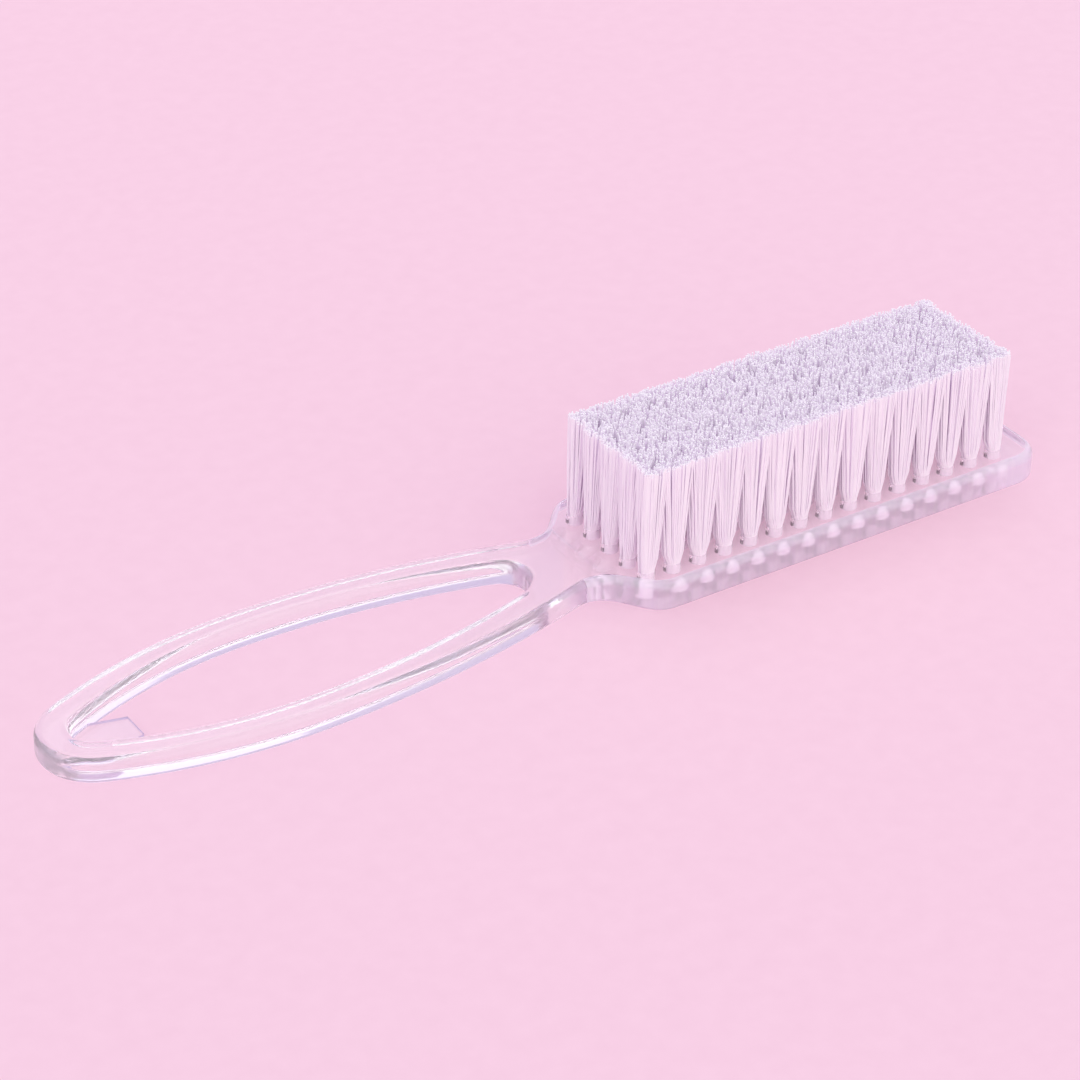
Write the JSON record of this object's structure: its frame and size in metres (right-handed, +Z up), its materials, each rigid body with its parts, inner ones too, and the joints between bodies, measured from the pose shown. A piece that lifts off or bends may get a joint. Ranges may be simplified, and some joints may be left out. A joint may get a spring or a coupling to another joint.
{
  "type": "nail brush",
  "caption": "Clear plastic nail brush with a flat oblong head of straight pale bristle tufts, a narrow neck and an open loop handle, lying bristles up.",
  "frame": {"origin": "bottom centre of the whole brush as it lies bristles up, on the table plane", "axes": "+X along the brush from the handle end to the tip of the head, +Y across it, +Z up along the bristles"},
  "size_m": [0.145, 0.025, 0.0192],
  "materials": {
    "clear_body": "clear polished moulding",
    "bristles": "fine straight nylon filaments",
    "anchors": "cut flat wire"
  },
  "bodies": {
    "root": {"handle_body": "clear_body", "tuft_row_01": "bristles", "tuft_row_02": "bristles", "tuft_row_03": "bristles", "tuft_row_04": "bristles", "tuft_row_05": "bristles", "tuft_row_06": "bristles", "tuft_row_07": "bristles", "tuft_row_08": "bristles", "tuft_row_09": "bristles", "tuft_row_10": "bristles", "tuft_row_11": "bristles", "tuft_row_12": "bristles", "tuft_row_13": "bristles", "tuft_row_14": "bristles", "tuft_row_15": "bristles", "anchor_row_01": "anchors", "anchor_row_02": "anchors", "anchor_row_03": "anchors", "anchor_row_04": "anchors", "anchor_row_05": "anchors", "anchor_row_06": "anchors", "anchor_row_07": "anchors", "anchor_row_08": "anchors", "anchor_row_09": "anchors", "anchor_row_10": "anchors", "anchor_row_11": "anchors", "anchor_row_12": "anchors", "anchor_row_13": "anchors", "anchor_row_14": "anchors", "anchor_row_15": "anchors"}
  },
  "joints": []
}
